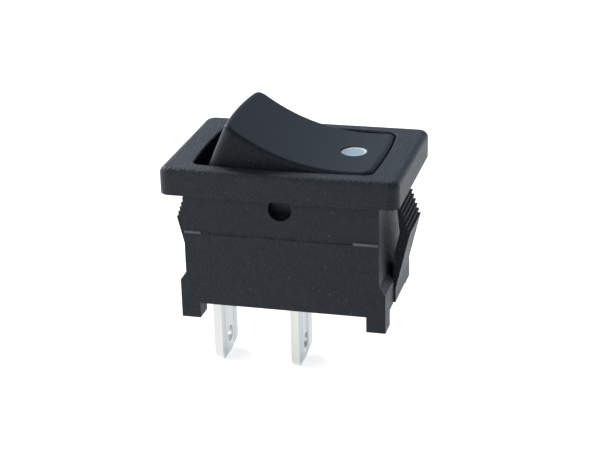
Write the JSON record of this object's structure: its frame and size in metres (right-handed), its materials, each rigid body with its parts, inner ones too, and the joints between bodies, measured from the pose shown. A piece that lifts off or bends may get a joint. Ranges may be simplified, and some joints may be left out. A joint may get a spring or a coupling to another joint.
{
  "type": "rocker switch",
  "caption": "Miniature snap-in rocker switch: black bezel and body, dished rocker with a round mark, toothed snap arms and flat push-on terminals.",
  "frame": {"origin": "middle of the bezel's underside, in the plane of the panel's face", "axes": "+X along the bezel towards the rocker's marked ON end, +Y across the bezel, +Z out of the panel towards the finger"},
  "size_m": [0.0216, 0.015, 0.0247],
  "materials": {
    "body_plastic": "fine matt black moulded plastic",
    "rocker_plastic": "fine matt black moulded plastic",
    "dot_plastic": "pale blue-white plastic, flush mark",
    "plunger_plastic": "natural nylon",
    "spring_steel": "drawn spring wire",
    "bridge_copper": "pressed copper alloy strip",
    "contact_silver": "silver contact rivet",
    "terminal_plating": "brass strip plated with tin"
  },
  "bodies": {
    "housing": {"housing": "body_plastic", "common_terminal": "terminal_plating", "throw_terminal": "terminal_plating", "fixed_contact": "contact_silver"},
    "rocker": {"rocker": "rocker_plastic", "on_dot": "dot_plastic", "plunger_spring": "spring_steel"},
    "plunger": {"plunger": "plunger_plastic"},
    "contact_bridge": {"contact_bridge": "bridge_copper", "bridge_contact": "contact_silver"}
  },
  "joints": [
    {"name": "rocker_pivot", "type": "hinge", "parent": "housing", "child": "rocker", "pos_m": [0, 0, -0.0011], "axis": [0, -1, 0], "range_deg": [0, 30.6]},
    {"name": "plunger_slide", "type": "slide", "parent": "rocker", "child": "plunger", "axis": [0.2639, 0, 0.9646], "range_m": [0, 0.0006], "stiffness_N_per_m": 300, "springref_m": -0.002, "deforming": ["plunger_spring"]},
    {"name": "bridge_pivot", "type": "hinge", "parent": "housing", "child": "contact_bridge", "pos_m": [0, 0, -0.00723], "axis": [0, -1, 0], "range_deg": [-16, 0]}
  ],
  "couplings": [
    {"joint": "bridge_pivot", "follows": "rocker_pivot", "ratio": -0.52288}
  ]
}
